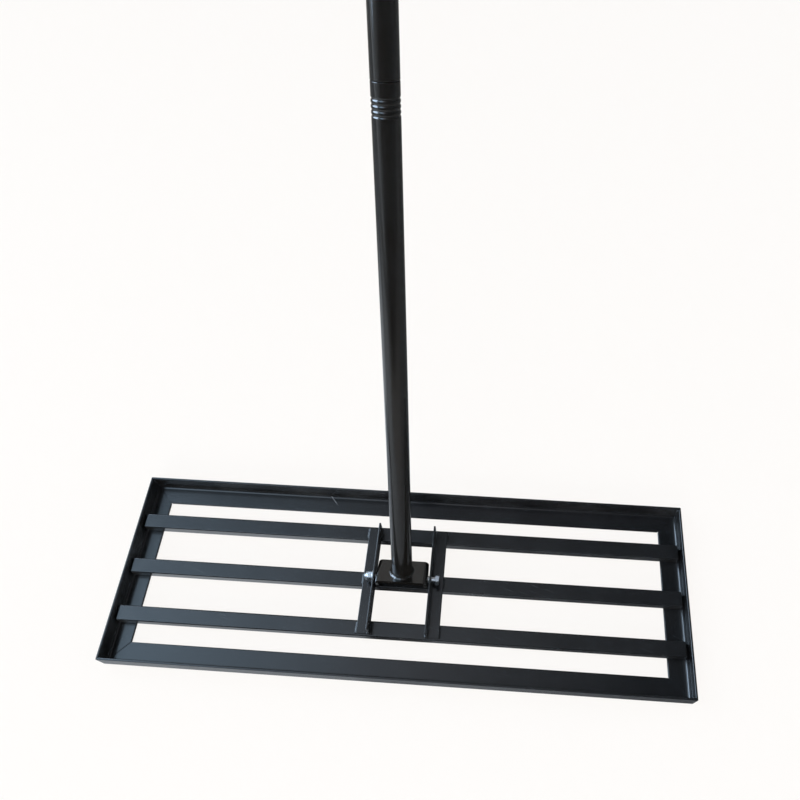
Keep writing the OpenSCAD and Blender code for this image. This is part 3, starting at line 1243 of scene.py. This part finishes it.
@dataclass
class Handle:
    """The tilting handle: bent yoke, ring weld, three screwed sections and a rubber grip."""

    paint: Finish
    steel: Finish
    rubber: Finish
    pivot: Vector
    lean: float
    yoke_rise: float = 13 * MM
    yoke_edge: float = 0.5 * MM
    weld_leg: float = 3 * MM
    weld_hollow: float = 1.6
    weld_ripples: int = 26
    weld_depth: float = 0.10
    weld_wander: float = 0.14
    weld_lumps: float = 3.0
    weld_steps: int = 240
    weld_fan: int = 7
    tube_r: float = 13.5 * MM
    tube_wall: float = 1.2 * MM
    tube_chamfer: float = 0.7 * MM
    section_l: float = 610 * MM
    seam_gap: float = 0.3 * MM
    groove_count: int = 4
    groove_pitch: float = 4.8 * MM
    groove_width: float = 3.6 * MM
    groove_depth: float = 0.7 * MM
    groove_start: float = 14.5 * MM
    grip_l: float = 135 * MM
    grip_wall: float = 3 * MM
    grip_cap: float = 4 * MM
    grip_round: float = 3 * MM
    grip_lip: float = 0.8 * MM
    grip_clear: float = 0.1 * MM
    ring_count: int = 9
    ring_pitch: float = 10 * MM
    ring_width: float = 4.4 * MM
    ring_depth: float = 0.9 * MM
    ring_start: float = 28 * MM

    def __post_init__(self) -> None:
        """Works out the turn from the upright handle's frame, with the pivot at its origin."""
        self.place = Matrix.Translation(self.pivot) @ Matrix.Rotation(-self.lean, 4, "X")

    def section_foot(self, number: int) -> float:
        """Height of a section's lower end, counted from 0 for the lowest."""
        return self.yoke_rise + number * (self.section_l + self.seam_gap)

    def dress_yoke(self) -> None:
        """Makes the yoke with softened edges."""
        bm = eased_copy("pivot_yoke", self.yoke_edge)
        finish_piece(bm, "pivot_yoke_dressed", Body.HANDLE, "pivot_yoke", self.paint)

    def dress_ring_weld(self) -> None:
        """Makes the hollow, rippled weld round the foot of the tube."""
        r, z, leg, away = self.tube_r, self.yoke_rise, self.weld_leg, self.weld_hollow
        start = math.degrees(math.atan2(-away, 1 - away))
        end = math.degrees(math.atan2(1 - away, -away))
        span = leg * math.hypot(away, away - 1)
        face = arc((r + away * leg, z + away * leg), span, start, end, self.weld_fan)
        ring = spun([(r, z), *face], True, self.weld_steps)
        for vert in ring.verts:
            angle = math.atan2(vert.co.y, vert.co.x)
            turn = Vector((math.cos(angle), math.sin(angle), 0.0))
            ripple = 1.0 - self.weld_depth * (1.0 - abs(math.sin(0.5 * self.weld_ripples * angle)))
            drift = noise.noise(self.weld_lumps * turn)
            share = ripple * (1.0 - self.weld_wander * (0.5 + drift))
            radius = r + (vert.co.xy.length - r) * share
            vert.co = (radius * turn.x, radius * turn.y, z + (vert.co.z - z) * share)
        finish_piece(put(ring, self.place), "yoke_weld_laid", Body.HANDLE, "yoke_weld", self.paint)

    def tube_profile(self, foot: float, rolled: bool) -> list[Point2]:
        """Half section of one handle section.

        Args:
            foot: Height of its lower end.
            rolled: True if its upper end is rolled into a socket.

        Returns:
            A closed line of (radius, z).
        """
        top, r, c = foot + self.section_l, self.tube_r, self.tube_chamfer
        soft = 0.3 * c
        outer = [(r - c, foot), (r - soft, foot + soft), (r, foot + c)]
        if rolled:
            for number in reversed(range(self.groove_count)):
                z = top - self.groove_start - number * self.groove_pitch
                outer += hollow(r, z, self.groove_width, self.groove_depth)
        outer += [(r, top - c), (r - soft, top - soft), (r - c, top)]
        bore = r - self.tube_wall
        return [*outer, (bore, top), (bore, foot)]

    def dress_tubes(self) -> None:
        """Makes the three sections of the handle."""
        for number, node in enumerate(TUBES):
            profile = self.tube_profile(self.section_foot(number), node != TUBES[-1])
            bm = put(spun(profile, True), self.place)
            finish_piece(bm, f"{node}_dressed", Body.HANDLE, node, self.paint)

    def dress_inserts(self) -> None:
        """Gives the screwed inserts inside the tubes their turned steel."""
        for node in INSERTS:
            for slot in frame["nodes"][node].material_slots:
                slot.material = self.steel.material()
            LOG.info("%s: CAD shape in turned steel", node)

    def dress_grip(self) -> None:
        """Makes the grip: a closed sleeve with hollow finger rings and a lip at its open end."""
        tube_top = self.section_foot(len(TUBES) - 1) + self.section_l
        top = tube_top + self.grip_cap
        foot = top - self.grip_l
        bore = self.tube_r + self.grip_clear
        r, lip, cap = bore + self.grip_wall, self.grip_lip, self.grip_round
        profile = [(0.0, tube_top), (bore, tube_top), (bore, foot)]
        profile += arc((r - lip, foot + lip), lip, -90, 0, 4)
        for number in range(self.ring_count):
            z = foot + self.ring_start + number * self.ring_pitch
            profile += hollow(r, z, self.ring_width, self.ring_depth)
        profile += [*arc((r - cap, top - cap), cap, 0, 90, 6), (0.0, top)]
        bm = put(spun(profile, False), self.place)
        finish_piece(bm, "hand_grip_dressed", Body.HANDLE, "hand_grip", self.rubber)

    def dress(self) -> None:
        """Dresses the whole handle."""
        self.dress_yoke()
        self.dress_ring_weld()
        self.dress_tubes()
        self.dress_inserts()
        self.dress_grip()


@dataclass(frozen=True)
class SoftBox:
    """A lamp in the shape of a plain bright rectangle."""

    name: str
    at: Point3
    size: Point2
    power: float
    colour: Colour
    shown: Shown

    def build(self, aim: Vector) -> None:
        """Adds the lamp, turned towards a point."""
        lamp = bpy.data.lights.new(self.name, "AREA")
        lamp.shape, lamp.energy, lamp.color = "RECTANGLE", self.power, self.colour
        lamp.size, lamp.size_y = self.size
        holder = bpy.data.objects.new(self.name, lamp)
        holder.location = self.at
        holder.rotation_euler = (aim - Vector(self.at)).to_track_quat("-Z", "Y").to_euler()
        bpy.context.scene.collection.objects.link(holder)
        holder.visible_camera = False
        holder.visible_diffuse = self.shown is Shown.AS_LIGHT
        holder.visible_glossy = self.shown is Shown.AS_GLOSS


@dataclass
class Studio:
    """A white sweep, soft light that comes mostly from the left, and the photograph's camera."""

    white: Colour = (0.995, 0.967, 0.938)
    paper: Colour = (0.9, 0.9, 0.9)
    cool: Colour = (0.86, 0.93, 1.0)
    warm: Colour = (0.98, 0.94, 0.90)
    least_glow: float = 0.01
    aside_glow: float = 0.62
    core_r: float = 0.4
    sweep_r: float = 6.0
    sweep_h: float = 7.0
    sweep_bend: float = 1.5
    floor_z: float = -0.5 * MM
    seen_share: float = 0.92
    ceiling: tuple[tuple[float, Colour], ...] = (
        (0.00, (0.45, 0.60, 0.75)),
        (0.28, (0.56, 0.78, 1.00)),
        (0.44, (0.27, 0.285, 0.315)),
        (0.53, (0.105, 0.108, 0.115)),
        (0.63, (0.014, 0.015, 0.017)),
        (1.00, (0.012, 0.012, 0.012)),
    )
    lamps: tuple[SoftBox, ...] = (
        SoftBox("window_box", (-2.2, 0.1, 1.45), (2.0, 1.5), 45.0, (0.75, 0.88, 1.0), Shown.AS_LIGHT),
        SoftBox("window_card", (-2.2, 0.6, 1.45), (3.0, 1.5), 140.0, (0.60, 0.78, 1.0), Shown.AS_GLOSS),
        SoftBox("side_box", (2.3, 0.2, 0.4), (1.6, 0.5), 26.0, (1.0, 0.97, 0.93), Shown.AS_LIGHT),
        SoftBox("front_box", (-0.5, -2.6, 1.5), (1.6, 1.2), 60.0, (1.0, 0.96, 0.92), Shown.AS_LIGHT),
    )
    aim: Point3 = (0.0, 0.0, 0.1)
    frame_px: float = 800.0
    sensor: float = 36.0
    focal_px: float = 733.2
    centre_px: Point2 = (465.0, 387.6)
    camera_at: Point3 = (0.1092, -0.2826, 1.0035)
    pitch: float = 58.83
    yaw: float = 4.41
    roll: float = 0.79

    def painted_glow(self, graph: Graph) -> Value:
        """What gloss mirrors of the sweep, painted light and shade: bright on the left, dim in front and
        behind.

        Args:
            graph: The sweep's nodes.

        Returns:
            The colour of the painted glow.
        """
        at = graph.place()
        x, y, z = at.part(0), at.part(1), at.part(2)
        reach = graph.vector("LENGTH", {0: at}, "Value") + self.core_r
        across, along = x / reach, y / reach

        # Far off: a painted window of light low on the left, and painted dim walls in front and behind.
        painted_window = across.step(-0.3, -0.9) * z.step(0.05, 0.2, 0.24, 1.5) * z.step(0.25, 0.5, 1.0, 0.35)
        front = along.step(-0.2, -0.8) * reach.step(5.5, 1.0, 0.0, 0.26)
        back = along.step(0.2, 0.8) * across.step(0.5, -0.2, 0.12, 0.42)

        # Close by: painted light on the floor ahead of the frame and within it, and a painted shadow under
        # the yoke.
        ahead = x.step(0.45, -0.35, 0.07, 0.48)
        within = x.step(0.2, -0.2, 0.05, 0.8) * y.step(-0.12, 0.04, 0.6, 1.25)
        near = ahead + (within - ahead) * y.step(-0.13, -0.10)
        limits = x.step(-1.2, -0.7) * y.step(-1.2, -0.6) * y.step(0.6, 0.2)
        # Painted shadow of the yoke and handle on the floor.
        painted_yoke_shadow = x.size().step(0.055, 0.03) * y.size().step(0.14, 0.11)
        floor = limits * near * (1 - painted_yoke_shadow)

        # Ahead and to the left: a painted patch of light on the floor, which the leaning tube mirrors.
        painted_light_patch = (x / y).step(0.1, 1.0) * x.step(-0.15, -0.5) * x.step(-2.6, -1.6) * y.step(-0.1, -0.25)

        bright = painted_window.at_least(floor.at_least(painted_light_patch * self.aside_glow))
        dim = front.at_least(back) + self.least_glow
        cool = graph.vector("SCALE", {0: self.cool, "Scale": bright})
        warm = graph.vector("SCALE", {0: self.warm, "Scale": dim})
        return graph.vector("MAXIMUM", {0: cool, 1: warm})

    def sweep_material(self) -> bpy.types.Material:
        """White paper that shows white to the camera and its painted glow of light and shade to gloss, and
        takes shadows.
        """
        material = bpy.data.materials.new("sweep_paper")
        material.use_nodes = True
        graph = Graph(material.node_tree)
        seen, glossy, through = (
            graph.add("ShaderNodeLightPath", None, None, f"Is {ray} Ray")
            for ray in ("Camera", "Glossy", "Transmission")
        )
        share = seen.at_least(glossy.at_least(through)) * self.seen_share
        paper = graph.add("ShaderNodeBsdfDiffuse", None, {"Color": (*self.paper, 1.0)})
        colour = graph.tint(seen, self.painted_glow(graph), self.white)
        light = graph.add("ShaderNodeEmission", None, {"Color": colour})
        mixed = graph.add("ShaderNodeMixShader", None, {0: share, 1: paper, 2: light})
        graph.add("ShaderNodeOutputMaterial", None, {"Surface": mixed})
        return material

    def build_sweep(self) -> None:
        """Makes the floor and the wall round it as one white sweep."""
        r, bend, level = self.sweep_r, self.sweep_bend, self.floor_z
        profile = [(0.0, level), *arc((r - bend, level + bend), bend, -90, 0, 12), (r, self.sweep_h)]
        bm = spun(profile, False, 64)
        bmesh.ops.reverse_faces(bm, faces=bm.faces[:])
        mesh = bpy.data.meshes.new("white_sweep")
        bm.to_mesh(mesh)
        bm.free()
        mesh.shade_smooth()
        mesh.materials.append(self.sweep_material())
        sweep_object = bpy.data.objects.new("white_sweep", mesh)
        bpy.context.scene.collection.objects.link(sweep_object)

    def build_world(self) -> None:
        """Lights the scene from a soft ceiling: bright on the left, dim on the right, strong in front."""
        world = bpy.data.worlds.new("soft_ceiling")
        world.use_nodes = True
        graph = Graph(world.node_tree)
        way = graph.coordinates("Generated")
        across = way.part(0) * 0.5 + 0.5
        ceiling = graph.add("ShaderNodeValToRGB", {"stops": self.ceiling}, {"Fac": across})
        strength = way.part(1).step(0.5, 0.1, 0.5, 3.1)
        shade = graph.add("ShaderNodeBackground", None, {"Color": ceiling, "Strength": strength})
        graph.add("ShaderNodeOutputWorld", None, {"Surface": shade})
        bpy.context.scene.world = world

    def build_camera(self) -> None:
        """Sets the camera where the photograph was taken from."""
        data = bpy.data.cameras.new("photo_camera")
        data.sensor_width = self.sensor
        data.lens = self.focal_px * self.sensor / self.frame_px
        data.shift_x = 0.5 - self.centre_px[0] / self.frame_px
        data.shift_y = self.centre_px[1] / self.frame_px - 0.5
        camera = bpy.data.objects.new("photo_camera", data)
        camera.matrix_world = (
            Matrix.Translation(self.camera_at)
            @ Matrix.Rotation(math.radians(self.yaw), 4, "Z")
            @ Matrix.Rotation(math.radians(90 - self.pitch), 4, "X")
            @ Matrix.Rotation(math.radians(-self.roll), 4, "Z")
        )
        bpy.context.scene.collection.objects.link(camera)
        bpy.context.scene.camera = camera

    def build(self) -> None:
        """Builds the whole studio."""
        self.build_sweep()
        self.build_world()
        for lamp in self.lamps:
            lamp.build(Vector(self.aim))
        self.build_camera()
        bpy.context.scene.view_settings.view_transform = "Standard"


def middle(node: str) -> Vector:
    """Middle of a CAD node's box."""
    low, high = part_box(node)
    return 0.5 * (low + high)


def main() -> None:
    """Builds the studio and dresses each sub-assembly in turn."""
    logging.basicConfig(level=logging.INFO, format="%(name)s: %(message)s")
    pivot = Vector(frame["joints"][0]["pos_m"])
    axis = middle(TUBES[-1]) - pivot
    lean = math.atan2(axis.y, axis.z)

    scratch = Scratch((-0.1195, 0.1220, 0.0035), (-0.1070, 0.1080, 0.0030), 1.6 * MM)
    frame_paint = GlossPaint("frame_black", Slot.FRAME_PAINT, scratches=(scratch,))
    handle_paint = TubePaint(
        "handle_black", Slot.HANDLE_PAINT, colour=(0.0062, 0.0052, 0.0042), roughness=0.12, ior=1.72,
        dust_and_wall_light_share=0.01, lean=lean,
    )
    seam = SeamShade("seam_black", Slot.FRAME_PAINT)
    zinc = ZincPlate("bright_zinc", Slot.ZINC)
    steel = TurnedSteel("turned_steel", Slot.STEEL, lean=lean)
    rubber = MouldedRubber("grip_black", Slot.RUBBER)

    Studio().build()
    GroundFrame(frame_paint, seam).dress()
    HingePair(frame_paint).dress()
    PivotBolt(zinc, pivot).dress()
    Handle(handle_paint, steel, rubber, pivot, lean).dress()


if __name__ == "__main__":
    main()
